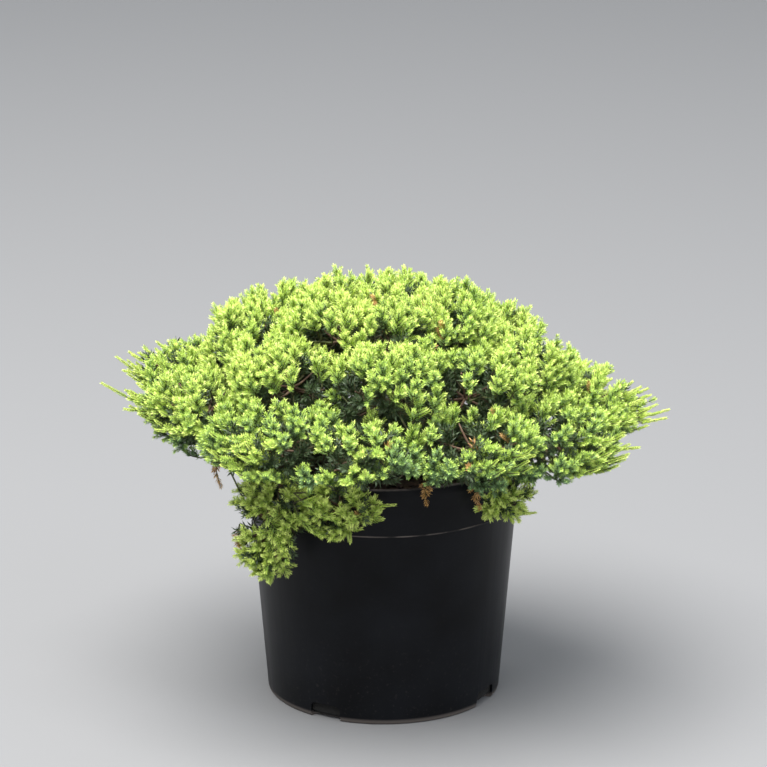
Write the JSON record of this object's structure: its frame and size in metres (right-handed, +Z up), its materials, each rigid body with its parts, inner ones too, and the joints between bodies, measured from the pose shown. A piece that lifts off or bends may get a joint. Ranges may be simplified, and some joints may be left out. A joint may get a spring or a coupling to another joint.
{
  "type": "potted nana japanese garden juniper",
  "caption": "Low spreading garden juniper: a broad mound of dense needled sprays on short boughs, spilling over the rim of a round black nursery pot filled with bark mix.",
  "frame": {"origin": "centre of the pot's flat underside, on the ground", "axes": "+Z up, -Y is the front side of the plant, +X is to the viewer's right"},
  "size_m": [0.6183, 0.5878, 0.4674],
  "materials": {
    "satin_black_plastic": "satin black, thinly dusted at the foot",
    "bark_mix": "dark moist bark chips, matt",
    "juniper_bark": "thin reddish-brown flaking bark, matt",
    "juniper_needles": "yellow-green new growth over blue-green older needles, waxy"
  },
  "bodies": {
    "root": {"bough_droop_01": "juniper_bark", "bough_droop_02": "juniper_bark", "bough_droop_03": "juniper_bark", "bough_droop_04": "juniper_bark", "bough_low_01": "juniper_bark", "bough_low_02": "juniper_bark", "bough_low_03": "juniper_bark", "bough_low_04": "juniper_bark", "bough_low_05": "juniper_bark", "bough_low_06": "juniper_bark", "bough_low_07": "juniper_bark", "bough_low_08": "juniper_bark", "bough_low_09": "juniper_bark", "bough_low_10": "juniper_bark", "bough_low_11": "juniper_bark", "bough_mid_01": "juniper_bark", "bough_mid_02": "juniper_bark", "bough_mid_03": "juniper_bark", "bough_mid_04": "juniper_bark", "bough_mid_05": "juniper_bark", "bough_mid_06": "juniper_bark", "bough_mid_07": "juniper_bark", "bough_mid_08": "juniper_bark", "foliage_droop_01": "juniper_needles", "foliage_droop_02": "juniper_needles", "foliage_droop_03": "juniper_needles", "foliage_droop_04": "juniper_needles", "foliage_low_01": "juniper_needles", "foliage_low_02": "juniper_needles", "foliage_low_03": "juniper_needles", "foliage_low_04": "juniper_needles", "foliage_low_05": "juniper_needles", "foliage_low_06": "juniper_needles", "foliage_low_07": "juniper_needles", "foliage_low_08": "juniper_needles", "foliage_low_09": "juniper_needles", "foliage_low_10": "juniper_needles", "foliage_low_11": "juniper_needles", "foliage_mid_01": "juniper_needles", "foliage_mid_02": "juniper_needles", "foliage_mid_03": "juniper_needles", "foliage_mid_04": "juniper_needles", "foliage_mid_05": "juniper_needles", "foliage_mid_06": "juniper_needles", "foliage_mid_07": "juniper_needles", "foliage_mid_08": "juniper_needles", "foliage_top_01": "juniper_needles", "foliage_upper_01": "juniper_needles", "foliage_upper_02": "juniper_needles", "foliage_upper_03": "juniper_needles", "foliage_upper_04": "juniper_needles", "foliage_upper_05": "juniper_needles", "pot": "satin_black_plastic", "potting_mix": "bark_mix", "trunk": "juniper_bark"}
  },
  "joints": []
}
